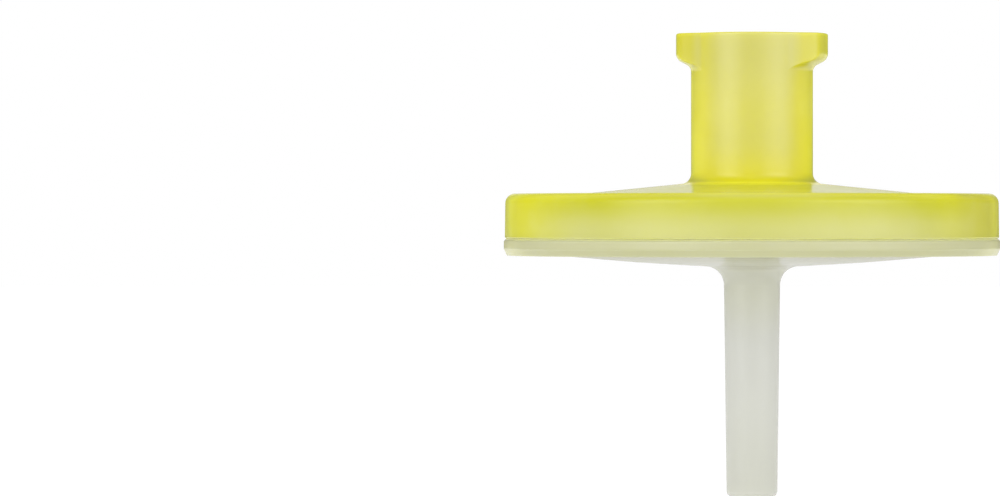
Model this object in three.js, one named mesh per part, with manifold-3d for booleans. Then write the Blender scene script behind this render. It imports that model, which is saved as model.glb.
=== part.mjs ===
// Syringe filter, 25 mm class: an inlet housing with a female luer-lock hub, a membrane and an outlet housing
// with a spigot. Millimetres, +Z up against the flow. The origin is the centre of the inlet mouth, so the whole
// filter hangs below it. Every height is a Z, and every height but the mouth's is negative.

import * as THREE from 'three';
import { mergeVertices } from 'three/addons/utils/BufferGeometryUtils.js';
import Module from 'manifold-3d';

const wasm = await Module();
wasm.setup();

// ---- Resolution -----------------------------------------------------------------------------------------------
const TURN_SEGMENTS = 80; // facets round every turned form
const ARC_STEP = THREE.MathUtils.degToRad(24); // largest turn between two points of a rounded corner
const MERGE_TOLERANCE = 1e-5;

// ---- Luer-lock hub --------------------------------------------------------------------------------------------
const MOUTH_Z = 0;
const BORE_MOUTH_R = 2.15;
const BORE_TAPER = 0.06; // luer taper: diameter lost per length
const BORE_DEPTH = 7.4;
const HUB_R = 3.13;
const MOUTH_EDGE_ROUND = 0.1;
const LUG_R = 3.9; // 7.8 mm across the lugs
const LUG_CREST_Z = -1.32; // lower end of the lug's outer face
const LUG_FOOT_Z = -1.72; // where its sloping underside meets the hub
const LUG_CREST_ROUND = 0.48;
const LUG_ROOT_FILLET = 0.4;
const LUG_BLANK_Z = -2.2; // below the root fillet
const LUG_CREST_FROM = THREE.MathUtils.degToRad(-30);
const LUG_CREST_TO = THREE.MathUtils.degToRad(13);
const LUG_FLANK_FROM = THREE.MathUtils.degToRad(-52); // where the flanks run out on the hub
const LUG_FLANK_TO = THREE.MathUtils.degToRad(34);
const LUG_ROOT_R = 2.8; // inside the hub's wall, so that lug and hub join

// ---- Inlet housing's disc -------------------------------------------------------------------------------------
const DISC_R = 12.65;
const SKIRT_R = 12.68; // at the skirt's lower edge: the mould's draft
const TOP_Z = -8.21;
const TOP_EDGE_ROUND = 0.5;
const SHOULDER_R = 8.6; // foot of the low cone round the hub
const SHOULDER_Z = -7.66; // the cone's height at the hub
const HUB_FILLET = 0.54;
const SKIRT_FOOT_Z = -10.5;
const SKIRT_INNER_R = 11.75;
const LIP_ROUND = 0.1;
const ROOF_Z = -9.3; // chamber roof
const ROOF_R = 10;
const ROOF_STEP_Z = -9.47; // first step of the chamber's edge
const CLAMP_INNER_R = 10.3;
const CLAMP_OUTER_R = 11.15;
const CLAMP_Z = -9.63;
const WELD_GROOVE_Z = -9.35;
const PORT_R = 0.7;

// ---- Membrane -------------------------------------------------------------------------------------------------
const CLEARANCE = 0.02; // between the clamped faces
const MEMBRANE_R = 10.9;
const MEMBRANE_THICKNESS = 0.15;
const MEMBRANE_TOP_Z = CLAMP_Z - CLEARANCE;
const MEMBRANE_FOOT_Z = MEMBRANE_TOP_Z - MEMBRANE_THICKNESS;

// ---- Outlet housing -------------------------------------------------------------------------------------------
const SEAM = 0.05; // open groove between the skirt and the rim
const SUPPORT_Z = MEMBRANE_FOOT_Z - CLEARANCE;
const PLUG_R = 11.6; // the part that sits inside the skirt
const RIM_TOP_Z = SKIRT_FOOT_Z - SEAM;
const RIM_R = 12.73;
const RIM_ROUND = 0.13;
const RIM_BEVEL_Z = -11.05; // the rim's lower edge is bevelled from here
const RIM_FOOT_R = 12.57;
const RIM_FOOT_Z = -11.39;
const RIM_FOOT_ROUND = 0.06;
const CONE_OUTER_R = 10;
const CONE_BREAK_R = 5.9; // the low cone turns a little flatter here
const CONE_BREAK_Z = -11.74;
const CONE_ROOT_Z = -12; // the cone's height at the spigot
const ROOT_FILLET = 0.95;
const SPIGOT_ROOT_R = 1.455;
const SPIGOT_TIP_R = 1.305;
const TIP_Z = -23.78;
const TIP_ROUND = 0.3;
const OUTLET_BORE_ROOT_R = 0.75;
const OUTLET_BORE_TIP_R = 0.6;
const WELL_R = 1.3; // funnel from the support plate into the outlet bore
const WELL_FOOT_Z = -11;
const RING_COUNT = 5; // concentric rings that carry the membrane
const RING_FIRST_R = 1.5;
const RING_PITCH = 1.75;
const RING_WIDTH = 0.6;
const RING_HEIGHT = 0.35;
const CHANNEL_COUNT = 8; // radial channels cut through the rings
const CHANNEL_WIDTH = 0.7;
const CHANNEL_INNER_R = 1;
const CHANNEL_OUTER_R = 9.9;

// ---- Colours --------------------------------------------------------------------------------------------------
const YELLOW = 0xdfda58;
const NATURAL = 0xd6d7c8;
const WHITE = 0xf3f2ec;

// ---- Helpers --------------------------------------------------------------------------------------------------

/** Replaces one corner of an outline with an arc of the given radius, tangent to both of its sides. */
function cornerArc(before, corner, after, radius) {
  const toBefore = before.clone().sub(corner).normalize();
  const toAfter = after.clone().sub(corner).normalize();
  const halfAngle = Math.acos(toBefore.dot(toAfter)) / 2;
  const centre = toBefore.clone().add(toAfter).normalize();
  centre.multiplyScalar(radius / Math.sin(halfAngle)).add(corner);
  const reach = radius / Math.tan(halfAngle);
  const start = toBefore.multiplyScalar(reach).add(corner).sub(centre);
  const end = toAfter.multiplyScalar(reach).add(corner).sub(centre);
  const sweep = Math.atan2(start.cross(end), start.dot(end));
  const steps = Math.ceil(Math.abs(sweep) / ARC_STEP);
  const points = [];
  for (let step = 0; step <= steps; step += 1) {
    const point = start.clone().rotateAround(new THREE.Vector2(), (sweep * step) / steps);
    points.push(point.add(centre));
  }
  return points;
}

/** Turns a closed outline of [radius, z, corner round] entries into points, with its rounds as arcs. */
function roundedOutline(corners) {
  const places = corners.map(([r, z]) => new THREE.Vector2(r, z));
  const count = places.length;
  return places.flatMap((place, i) => {
    const round = corners[i][2] ?? 0;
    if (round === 0) return [place];
    return cornerArc(places[(i + count - 1) % count], place, places[(i + 1) % count], round);
  });
}

/** A closed ring turned about Z from an outline that runs counter-clockwise in (radius, z). */
function turned(corners) {
  const outline = roundedOutline(corners);
  outline.push(outline[0].clone());
  return toSolid(new THREE.LatheGeometry(outline, TURN_SEGMENTS).rotateX(Math.PI / 2));
}

function toSolid(geometry) {
  geometry.deleteAttribute('normal');
  geometry.deleteAttribute('uv');
  const merged = mergeVertices(geometry, MERGE_TOLERANCE);
  const vertProperties = Float32Array.from(merged.attributes.position.array);
  const triVerts = Uint32Array.from(merged.index.array);
  return new wasm.Manifold(new wasm.Mesh({ numProp: 3, vertProperties, triVerts }));
}

function toMesh(name, solid, color, roughness) {
  const { vertProperties, triVerts } = solid.getMesh();
  const geometry = new THREE.BufferGeometry();
  geometry.setAttribute('position', new THREE.BufferAttribute(vertProperties, 3));
  geometry.setIndex(new THREE.BufferAttribute(triVerts, 1));
  geometry.computeVertexNormals();
  const material = new THREE.MeshStandardMaterial({ color, roughness, metalness: 0 });
  const mesh = new THREE.Mesh(geometry, material);
  mesh.name = name;
  return mesh;
}

// ---- Inlet housing --------------------------------------------------------------------------------------------

/** The moulding without its lugs: chamber side, skirt, disc top, shoulder, hub and taper bore. */
function inletBody() {
  const boreFloorZ = MOUTH_Z - BORE_DEPTH;
  const boreFloorR = BORE_MOUTH_R - (BORE_DEPTH * BORE_TAPER) / 2;
  return turned([
    [PORT_R, ROOF_Z],
    [ROOF_R, ROOF_Z],
    [ROOF_R, ROOF_STEP_Z],
    [CLAMP_INNER_R, ROOF_STEP_Z],
    [CLAMP_INNER_R, CLAMP_Z],
    [CLAMP_OUTER_R, CLAMP_Z],
    [CLAMP_OUTER_R, WELD_GROOVE_Z],
    [SKIRT_INNER_R, WELD_GROOVE_Z],
    [SKIRT_INNER_R, SKIRT_FOOT_Z, LIP_ROUND],
    [SKIRT_R, SKIRT_FOOT_Z, LIP_ROUND],
    [DISC_R, TOP_Z, TOP_EDGE_ROUND],
    [SHOULDER_R, TOP_Z],
    [HUB_R, SHOULDER_Z, HUB_FILLET],
    [HUB_R, MOUTH_Z, MOUTH_EDGE_ROUND],
    [BORE_MOUTH_R, MOUTH_Z, MOUTH_EDGE_ROUND],
    [boreFloorR, boreFloorZ, MOUTH_EDGE_ROUND],
    [PORT_R, boreFloorZ],
  ]);
}

/** The turned space that a lug may fill: flat crest, sloping underside, rounded edges. */
function lugEnvelope() {
  return turned([
    [LUG_ROOT_R, LUG_BLANK_Z],
    [HUB_R, LUG_BLANK_Z],
    [HUB_R, LUG_FOOT_Z, LUG_ROOT_FILLET],
    [LUG_R, LUG_CREST_Z, LUG_CREST_ROUND],
    [LUG_R, MOUTH_Z, MOUTH_EDGE_ROUND],
    [LUG_ROOT_R, MOUTH_Z],
  ]);
}

/** One lug's plan: a crest beyond the envelope, and two flanks that run out nearly tangent to the hub. */
function lugPlan() {
  const at = (radius, angle) => [radius * Math.cos(angle), radius * Math.sin(angle)];
  const plan = new THREE.Shape();
  plan.moveTo(...at(LUG_ROOT_R, LUG_FLANK_TO));
  plan.lineTo(...at(LUG_ROOT_R, 0));
  plan.lineTo(...at(LUG_ROOT_R, LUG_FLANK_FROM));
  plan.lineTo(...at(HUB_R, LUG_FLANK_FROM));
  plan.lineTo(...at(LUG_R, LUG_CREST_FROM));
  plan.lineTo(...at(LUG_R / Math.cos((LUG_CREST_TO - LUG_CREST_FROM) / 2), (LUG_CREST_TO + LUG_CREST_FROM) / 2));
  plan.lineTo(...at(LUG_R, LUG_CREST_TO));
  plan.lineTo(...at(HUB_R, LUG_FLANK_TO));
  plan.closePath();
  return plan;
}

/** One lug, turned about Z by the given angle. */
function lug(angle) {
  const depth = MOUTH_Z - LUG_BLANK_Z;
  const blank = new THREE.ExtrudeGeometry(lugPlan(), { depth, bevelEnabled: false });
  blank.translate(0, 0, LUG_BLANK_Z).rotateZ(angle);
  return toSolid(blank).intersect(lugEnvelope());
}

function inletHousing() {
  const housing = inletBody().add(lug(0)).add(lug(Math.PI));
  return toMesh('inlet_housing', housing, YELLOW, 0.38);
}

// ---- Membrane -------------------------------------------------------------------------------------------------

function membrane() {
  const disc = new THREE.CylinderGeometry(MEMBRANE_R, MEMBRANE_R, MEMBRANE_THICKNESS, TURN_SEGMENTS);
  disc.rotateX(Math.PI / 2).translate(0, 0, (MEMBRANE_TOP_Z + MEMBRANE_FOOT_Z) / 2);
  return toMesh('membrane', toSolid(disc), WHITE, 0.85);
}

// ---- Outlet housing -------------------------------------------------------------------------------------------

/** The support plate's top, from the clamp ring inwards: rings at full height with grooves between them. */
function supportOutline() {
  const grooveZ = SUPPORT_Z - RING_HEIGHT;
  const corners = [];
  for (let ring = RING_COUNT - 1; ring >= 0; ring -= 1) {
    const outer = RING_FIRST_R + ring * RING_PITCH + RING_WIDTH;
    corners.push([outer, grooveZ], [outer, SUPPORT_Z]);
    corners.push([outer - RING_WIDTH, SUPPORT_Z], [outer - RING_WIDTH, grooveZ]);
  }
  return corners;
}

/** The moulding without its radial channels: rim, support plate, cone, spigot and outlet bore. */
function outletBody() {
  return turned([
    [OUTLET_BORE_TIP_R, TIP_Z],
    [SPIGOT_TIP_R, TIP_Z, TIP_ROUND],
    [SPIGOT_ROOT_R, CONE_ROOT_Z, ROOT_FILLET],
    [CONE_BREAK_R, CONE_BREAK_Z],
    [CONE_OUTER_R, RIM_FOOT_Z],
    [RIM_FOOT_R, RIM_FOOT_Z, RIM_FOOT_ROUND],
    [RIM_R, RIM_BEVEL_Z, RIM_ROUND],
    [RIM_R, RIM_TOP_Z, RIM_ROUND],
    [PLUG_R, RIM_TOP_Z],
    [PLUG_R, SUPPORT_Z],
    [CLAMP_INNER_R, SUPPORT_Z],
    [CLAMP_INNER_R, SUPPORT_Z - RING_HEIGHT],
    ...supportOutline(),
    [WELL_R, SUPPORT_Z - RING_HEIGHT],
    [OUTLET_BORE_ROOT_R, WELL_FOOT_Z],
  ]);
}

/** A radial channel through the rings, down to the grooves, that leads the filtrate to the bore. */
function channel(angle) {
  const length = CHANNEL_OUTER_R - CHANNEL_INNER_R;
  const bar = new THREE.BoxGeometry(length, CHANNEL_WIDTH, 2 * RING_HEIGHT);
  bar.translate(CHANNEL_INNER_R + length / 2, 0, SUPPORT_Z).rotateZ(angle);
  return toSolid(bar);
}

function outletHousing() {
  let housing = outletBody();
  for (let turn = 0; turn < CHANNEL_COUNT; turn += 1) {
    housing = housing.subtract(channel((2 * Math.PI * turn) / CHANNEL_COUNT));
  }
  return toMesh('outlet_housing', housing, NATURAL, 0.4);
}

// ---- Assembly -------------------------------------------------------------------------------------------------

const syringeFilter = new THREE.Group();
syringeFilter.name = 'syringe_filter';
syringeFilter.add(inletHousing(), membrane(), outletHousing());

export default syringeFilter;
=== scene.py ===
"""Syringe filter, 25 mm class, dressed for Blender 4.5.

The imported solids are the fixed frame. Each one is replaced by a finer moulding of the same form, worked out
with numpy as an outline turned about the flow axis. Lengths are metres, +Z points out of the inlet mouth,
and the origin is the centre of that mouth. The script is laid out as an add-on: settings, one operator a
piece, one for the stage, and a panel that lists them.
"""

import math

import bpy
import numpy as np
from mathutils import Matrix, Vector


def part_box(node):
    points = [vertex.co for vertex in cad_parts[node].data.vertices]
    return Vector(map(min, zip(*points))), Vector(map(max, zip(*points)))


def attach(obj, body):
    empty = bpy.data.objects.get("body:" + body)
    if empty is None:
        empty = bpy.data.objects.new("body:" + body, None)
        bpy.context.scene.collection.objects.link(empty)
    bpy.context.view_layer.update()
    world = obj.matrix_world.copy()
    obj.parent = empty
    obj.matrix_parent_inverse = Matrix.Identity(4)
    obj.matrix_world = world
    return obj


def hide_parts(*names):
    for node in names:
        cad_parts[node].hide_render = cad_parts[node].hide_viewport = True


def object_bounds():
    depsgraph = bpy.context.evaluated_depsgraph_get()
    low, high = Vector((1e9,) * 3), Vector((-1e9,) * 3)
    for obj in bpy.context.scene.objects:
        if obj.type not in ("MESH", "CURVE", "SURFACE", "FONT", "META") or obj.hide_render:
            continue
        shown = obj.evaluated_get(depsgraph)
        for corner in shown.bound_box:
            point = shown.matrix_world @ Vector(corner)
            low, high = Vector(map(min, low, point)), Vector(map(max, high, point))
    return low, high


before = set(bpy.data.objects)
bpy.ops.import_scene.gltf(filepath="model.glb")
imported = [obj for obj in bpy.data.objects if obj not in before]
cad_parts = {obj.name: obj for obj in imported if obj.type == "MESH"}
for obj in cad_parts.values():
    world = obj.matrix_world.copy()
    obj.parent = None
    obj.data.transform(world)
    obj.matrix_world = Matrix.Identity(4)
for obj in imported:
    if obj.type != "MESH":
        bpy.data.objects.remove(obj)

bl_info = {
    "name": "Syringe Filter",
    "version": (1, 0, 0),
    "blender": (4, 5, 0),
    "location": "3D View > Sidebar > Syringe Filter",
    "description": "Builds a moulded syringe filter with its membrane, and a plain studio round it",
    "category": "Add Mesh",
}

MM = 0.001
BODY = "root"

CAD_LOW, CAD_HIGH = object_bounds()
INLET_LOW, INLET_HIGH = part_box("inlet_housing")
OUTLET_LOW, OUTLET_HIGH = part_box("outlet_housing")
MEMBRANE_LOW, MEMBRANE_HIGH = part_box("membrane")

TURN_COLUMNS = 360  # one column a degree, so that the lugs' corners fall on columns
TURNS = np.arange(TURN_COLUMNS) * 2 * math.pi / TURN_COLUMNS  # each column's turn about the flow axis
ARC_STEP = math.radians(9)  # largest turn between two points of a rounded corner
HOLD = 0.04 * MM  # distance of the holding rows that keep flat faces flat beside a round
SHORTEST_HELD = 4 * HOLD  # shortest stretch of outline that gets holding rows
LONGEST_STEP = 0.6 * MM  # longest stretch of outline between two rows
LUG_STEP = 0.06 * MM  # largest height between two rows on a lug
HEIGHT_GRAIN = 0.01 * MM  # rows closer than this are one row
POLE_RADIUS = 0.1 * MM  # innermost row of a face that closes in a pole
FILM_ROWS = 90  # rows on each face of the membrane
FILM_EDGE_STEPS = 6  # steps round each of its edge's corners


# ---- Settings ----------------------------------------------------------------------------------------


def length(name, description, default):
    """A size that a user may change, stored in metres."""
    return bpy.props.FloatProperty(
        name=name, description=description, default=default, unit="LENGTH", subtype="DISTANCE", precision=5
    )


def angle(name, description, degrees):
    """An angle about the flow axis, given in degrees and stored in radians."""
    return bpy.props.FloatProperty(
        name=name, description=description, default=math.radians(degrees), unit="ROTATION", subtype="ANGLE"
    )


def colour(name, description, default):
    """A scene-linear colour."""
    return bpy.props.FloatVectorProperty(
        name=name, description=description, default=default, size=3, min=0, max=1, subtype="COLOR"
    )


def amount(name, description, default, low=0.0, high=1.0):
    """A plain number between two limits."""
    return bpy.props.FloatProperty(name=name, description=description, default=default, min=low, max=high)


class HubSettings(bpy.types.PropertyGroup):
    """The luer-lock hub of the inlet housing."""

    radius: length("Hub radius", "Outside of the hub's tube", 3.13 * MM)
    bore_radius: length("Bore radius", "Taper bore at its mouth", 2.15 * MM)
    bore_depth: length("Bore depth", "From the mouth to the floor", 7.4 * MM)
    bore_taper: amount("Bore taper", "Diameter lost for each length of bore", 0.06)
    edge_round: length("Edge round", "Round on the mouth's edges", 0.1 * MM)
    lug_radius: length("Lug radius", "From the axis to a lug's crest", 3.9 * MM)
    crest_depth: length("Crest depth", "Lower end of the crest, below the mouth", 1.32 * MM)
    foot_depth: length("Foot depth", "Where the lug's underside meets the hub", 1.72 * MM)
    crest_round: length("Crest round", "Round between crest and underside", 0.48 * MM)
    root_fillet: length("Root fillet", "Fillet between underside and hub", 0.4 * MM)
    crest_from: angle("Crest from", "Where the crest starts", -30)
    crest_to: angle("Crest to", "Where the crest ends", 13)
    flank_from: angle("Flank from", "Where the first flank leaves the hub", -52)
    flank_to: angle("Flank to", "Where the second flank meets the hub", 34)
    flank_blend: angle("Flank blend", "Turn over which the lugs' upright edges are rounded", 10)


class InletSettings(bpy.types.PropertyGroup):
    """The disc, skirt and chamber of the inlet housing, and its plastic, whose colours hold painted light and
    shade.
    """

    top_radius: length("Top radius", "Disc under its top edge", 12.65 * MM)
    top_depth: length("Top depth", "Flat of the disc, below the mouth", 8.21 * MM)
    top_round: length("Top round", "Round on the disc's top edge", 0.5 * MM)
    shoulder_radius: length("Shoulder radius", "Foot of the low cone round the hub", 8.6 * MM)
    shoulder_depth: length("Shoulder depth", "Height of the cone at the hub, below the mouth", 7.66 * MM)
    hub_fillet: length("Hub fillet", "Fillet between hub and shoulder", 0.54 * MM)
    lip_round: length("Lip round", "Round on the skirt's lower edge", 0.05 * MM)
    skirt_inner_radius: length("Skirt inner radius", "Inside of the skirt", 11.75 * MM)
    weld_groove_depth: length("Weld groove depth", "Top of the groove behind the skirt", 9.35 * MM)
    clamp_outer_radius: length("Clamp outer radius", "Outside of the clamp ring", 11.15 * MM)
    clamp_inner_radius: length("Clamp inner radius", "Inside of the clamp ring", 10.3 * MM)
    clamp_depth: length("Clamp depth", "Face of the clamp ring, below the mouth", 9.63 * MM)
    step_depth: length("Step depth", "Step at the chamber's edge", 9.47 * MM)
    roof_radius: length("Roof radius", "Flat of the chamber's roof", 10.0 * MM)
    roof_depth: length("Roof depth", "Chamber's roof, below the mouth", 9.3 * MM)
    port_radius: length("Port radius", "Hole from the bore into the chamber", 0.7 * MM)
    roughness: amount("Roughness", "How dull the moulded faces are", 0.20)
    deep: colour("Disc plastic", "Yellow of the solid plate seen from the side", (0.61, 0.605, 0.012))
    middle: colour(
        "Middle plastic", "Brighter yellow of all that lies inside the clamp ring", (0.83, 0.775, 0.032)
    )
    # Painted light: the brightest yellow round the hub's foot, against the shade in the fillet between hub
    # and shoulder.
    foot: colour("Foot painted light", "Brightest yellow, round the foot of the hub", (1.0, 0.945, 0.075))
    thin: colour(
        "Thin plastic", "Paler yellow where a wall is thin and lets light through", (0.69, 0.67, 0.19)
    )
    # Partly painted light: the thinner skirt is paler, and it is also brightened against the shade of the
    # groove and rim below it.
    skirt: colour("Skirt plastic with painted light", "Paler yellow of the skirt below the solid plate", (0.655, 0.655, 0.185))
    brim: colour("Brim plastic", "Paler yellow of the round at the top's edge", (0.65, 0.635, 0.12))
    # Painted light: a brighter yellow on the faces that look up, standing in for the light that falls on them
    # from above.
    crown_light: colour("Crown painted light", "Yellow of the faces that look up", (0.93, 0.865, 0.065))
    clamp: colour(
        "Clamp plastic", "Paler yellow of the top where it is thin, over the clamp ring", (0.81, 0.79, 0.26)
    )
    knit: colour("Knit plastic", "Pale yellow of the knit line on the top", (0.93, 0.90, 0.2))
    # Painted light: the bore's inside is brightened against the shade in its depth.
    bore: colour("Bore painted light", "Bright yellow inside the bore, which the wall lights up", (1.0, 0.97, 0.09))
    # Painted light: the weld's groove is brightened against the shade in it.
    seam: colour("Seam painted light", "Yellow at the weld, where light comes through the seam", (1.0, 1.0, 0.30))
    ledge: colour("Ledge plastic", "Dull yellow where the top is seen at a low angle", (0.59, 0.595, 0.075))
    hub_edge: colour(
        "Hub edge plastic", "Strong yellow where the hub is seen at a low angle", (0.82, 0.795, 0.07)
    )
    # Painted light: a brighter yellow on the hub's low-angle edges near its foot, against the shade beside
    # the disc.
    hub_foot_edge_light: colour("Hub foot edge painted light", "The same at the hub's foot", (0.95, 0.91, 0.045))
    edge: colour("Edge plastic", "Strong yellow where the disc is seen at a low angle", (0.85, 0.825, 0.035))
    # Painted shade: a duller yellow at the disc's +X end, the side away from the stronger light.
    far_edge_shade: colour("Far edge painted shade", "Duller yellow of the disc's +X end", (0.68, 0.655, 0.065))
    # Painted light: upright walls are brightened where they turn out of sight, against their darkening at the
    # outline.
    last_edge_light: colour(
        "Last edge painted light", "Bright yellow where an upright wall turns out of sight", (1.0, 0.985, 0.08)
    )
    lip: colour("Lip shade", "What is left of the colour at the hub's rim", (0.90, 0.90, 0.97))
    lug: colour("Lug shade", "What is left of the colour on the lugs", (0.93, 0.935, 0.84))
    # Painted shade: faces that look down are darkened, standing in for the shade under them.
    underside: colour(
        "Underside painted shade", "What is left of the colour on faces that look down", (0.92, 0.92, 0.86)
    )


class OutletSettings(bpy.types.PropertyGroup):
    """The outlet housing and its plastic, whose colours hold painted light and shade."""

    plug_radius: length("Plug radius", "Part that sits inside the skirt", 11.6 * MM)
    rim_top_depth: length("Rim top depth", "Top of the rim, below the mouth", 10.55 * MM)
    rim_round: length("Rim round", "Round on the rim's upper edge and on its bevel", 0.1 * MM)
    bevel_depth: length("Bevel depth", "Where the rim's lower bevel starts", 11.05 * MM)
    foot_radius: length("Foot radius", "Rim at its lower face", 12.57 * MM)
    foot_depth: length("Foot depth", "Lower face of the rim, below the mouth", 11.39 * MM)
    foot_round: length("Foot round", "Round on the rim's lower edge", 0.06 * MM)
    cone_radius: length("Cone radius", "Where the low cone leaves the rim's lower face", 10.0 * MM)
    break_radius: length("Break radius", "Where the cone turns flatter", 5.9 * MM)
    break_depth: length("Break depth", "The cone's height there, below the mouth", 11.74 * MM)
    root_depth: length("Root depth", "The cone's height at the spigot", 12.0 * MM)
    root_fillet: length("Root fillet", "Fillet between cone and spigot", 0.95 * MM)
    spigot_root_radius: length("Spigot root radius", "Spigot at the cone", 1.455 * MM)
    spigot_tip_radius: length("Spigot tip radius", "Spigot at its tip", 1.305 * MM)
    tip_round: length("Tip round", "Round on the tip's edge", 0.3 * MM)
    bore_tip_radius: length("Bore tip radius", "Bore at the tip", 0.6 * MM)
    bore_root_radius: length("Bore root radius", "Bore at its inner end", 0.75 * MM)
    well_depth: length("Well depth", "Foot of the funnel, below the mouth", 11.0 * MM)
    well_radius: length("Well radius", "Mouth of the funnel", 1.3 * MM)
    clamp_radius: length("Clamp radius", "Inside of the clamped border", 10.3 * MM)
    ring_count: bpy.props.IntProperty(
        name="Support rings", description="Rings that carry the membrane", default=5, min=1, max=12
    )
    ring_first_radius: length("First ring radius", "Inside of the innermost ring", 1.5 * MM)
    ring_pitch: length("Ring pitch", "From one ring to the next", 1.75 * MM)
    ring_width: length("Ring width", "Width of a ring", 0.6 * MM)
    ring_height: length("Ring height", "Height of the rings over their grooves", 0.35 * MM)
    channel_count: bpy.props.IntProperty(
        name="Channels", description="Radial channels through the rings", default=8, min=0, max=24
    )
    channel_width: length("Channel width", "Width of a radial channel", 0.7 * MM)
    weld_radius: length("Weld radius", "Where the weld's slope meets the skirt", 12.61 * MM)
    weld_gap: length("Weld gap", "What is left of the gap between rim and skirt there", 0.002 * MM)
    roughness: amount("Roughness", "How dull the moulded faces are", 0.21)
    tip: colour("Tip plastic", "The spigot's tip", (0.64, 0.645, 0.575))
    spigot: colour("Spigot plastic", "The middle of the spigot", (0.715, 0.72, 0.68))
    # Painted light: from the spigot's middle up through its top, its root, the cone and the rim, the natural
    # plastic takes a growing yellow tint, standing in for light from the yellow housing above.
    neck: colour("Neck plastic", "The top of the spigot", (0.73, 0.735, 0.63))
    root: colour("Root plastic", "The fillet between spigot and cone", (0.71, 0.715, 0.60))
    cone: colour("Cone plastic", "The cone, where the rim's yellow begins", (0.78, 0.785, 0.63))
    # Painted shade: the rim's lower bevel, which faces the floor, is darkened.
    bevel: colour("Bevel painted shade", "The rim's lower edge, which faces the floor", (0.57, 0.57, 0.325))
    rim: colour("Rim plastic with painted light", "The rim, which takes up the yellow above it", (0.60, 0.60, 0.35))
    # Painted light: the rim's upper edge at the weld is brightened against the shade in the groove.
    seam: colour("Seam painted light", "The rim's upper edge, where light comes through the seam", (1.0, 1.0, 0.5))
    # Painted light: the rim is brightened where it is seen at a low angle, against the darkening of its ends.
    edge: colour("Edge plastic", "Brighter shade where the rim is seen at a low angle", (0.74, 0.735, 0.38))
    # Painted shade: faces that look down are darkened, standing in for the shade under them.
    underside: colour(
        "Underside painted shade", "What is left of the colour on faces that look down", (0.87, 0.865, 0.86)
    )


class MembraneSettings(bpy.types.PropertyGroup):
    """The clamped filter membrane."""

    edge_round: length("Edge round", "Softness of the cut edge", 0.03 * MM)
    dimple: length("Dimple", "How far the film sinks between the support rings", 0.008 * MM)
    film: colour("Film", "White of the membrane", (0.88, 0.87, 0.82))
    shade: colour("Shade", "Slightly darker white in its pores", (0.80, 0.79, 0.74))


class StageSettings(bpy.types.PropertyGroup):
    """Camera, floor and light."""

    camera_distance: length("Camera distance", "From the lens to the flow axis", 270 * MM)
    camera_depth: length("Camera depth", "Height of the lens, below the mouth", 9.31 * MM)
    lens: bpy.props.FloatProperty(
        name="Lens", description="Focal length in millimetres", default=189.3, min=20
    )
    shift_x: amount("Shift sideways", "Puts the object in the right half of the frame", -0.2520, -1, 1)
    shift_y: amount("Shift upwards", "Keeps the camera level with the disc", -0.033, -1, 1)
    floor_drop: length("Floor drop", "From the spigot's tip down to the floor", 10 * MM)
    floor_size: length("Floor size", "Side of the floor", 3.0)
    lamp_aside: length("Lamp aside", "From the flow axis to a lamp, sideways", 290 * MM)
    lamp_forward: length("Lamp forward", "From the flow axis to a lamp, towards the camera", 280 * MM)
    lamp_height: length("Lamp height", "Height of the lamps over the mouth", 100 * MM)
    lamp_spread: length("Lamp spread", "How much further out the right lamp stands", 20 * MM)
    lamp_size: length("Lamp size", "Side of a lamp", 360 * MM)
    lamp_power: amount("Lamp power", "Power of a lamp in watts", 0.48, 0, 50)
    ambient: amount("Ambient", "Soft light from all round", 0.85, 0, 5)
    lean: amount("Lean", "Share by which that light is stronger from the left", 0.05)
    panel_glow: amount("Panel glow", "How much brighter the lamps' soft panels show in gloss", 1.35, 0, 5)
    left_panel: angle("Left panel", "Middle of the left panel, from the lens round to it", -44)
    right_panel: angle("Right panel", "Middle of the right panel, from the lens round to it", 50)
    left_reach: angle("Left reach", "From the left panel's middle to where it fades out", 36)
    right_reach: angle("Right reach", "From the right panel's middle to where it fades out", 46)
    front_glow: amount("Front glow", "How bright the room in front shows in gloss", 0.45, 0, 5)
    aside_glow: amount("Aside glow", "How much brighter its walls left and right show", 0.25, 0, 5)
    side_glow: amount("Dark glow", "How bright the room's dark corners show in gloss", 0.12, 0, 5)
    back_glow: amount("Back glow", "How bright the backdrop shows in gloss", 0.85, 0, 5)


# ---- Shapes ------------------------------------------------------------------------------------------


def corner_arc(before, corner, after, radius):
    """Points of the arc that rounds one corner: its centre lies on the bisector, radius over the sine of
    half the corner's angle away, and the arc runs between the two points where it touches the sides."""
    to_before = (before - corner) / np.linalg.norm(before - corner)
    to_after = (after - corner) / np.linalg.norm(after - corner)
    half = math.acos(float(np.clip(to_before @ to_after, -1, 1))) / 2
    bisector = (to_before + to_after) / np.linalg.norm(to_before + to_after)
    centre = corner + bisector * radius / math.sin(half)
    start = corner + to_before * radius / math.tan(half) - centre
    end = corner + to_after * radius / math.tan(half) - centre
    sweep = math.atan2(start[0] * end[1] - start[1] * end[0], float(start @ end))
    turns = np.linspace(0, sweep, max(2, math.ceil(abs(sweep) / ARC_STEP)) + 1)
    x = start[0] * np.cos(turns) - start[1] * np.sin(turns)
    z = start[0] * np.sin(turns) + start[1] * np.cos(turns)
    return centre + np.stack([x, z], axis=1)


def rounded_outline(corners):
    """The closed outline of (radius, z, round) corners, with each round as an arc."""
    places = np.array([corner[:2] for corner in corners], dtype=float)
    pieces = []
    for i, corner in enumerate(corners):
        if len(corner) == 2:
            pieces.append(places[i : i + 1])
        else:
            pieces.append(corner_arc(places[i - 1], places[i], places[(i + 1) % len(places)], corner[2]))
    return np.concatenate(pieces)


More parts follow.
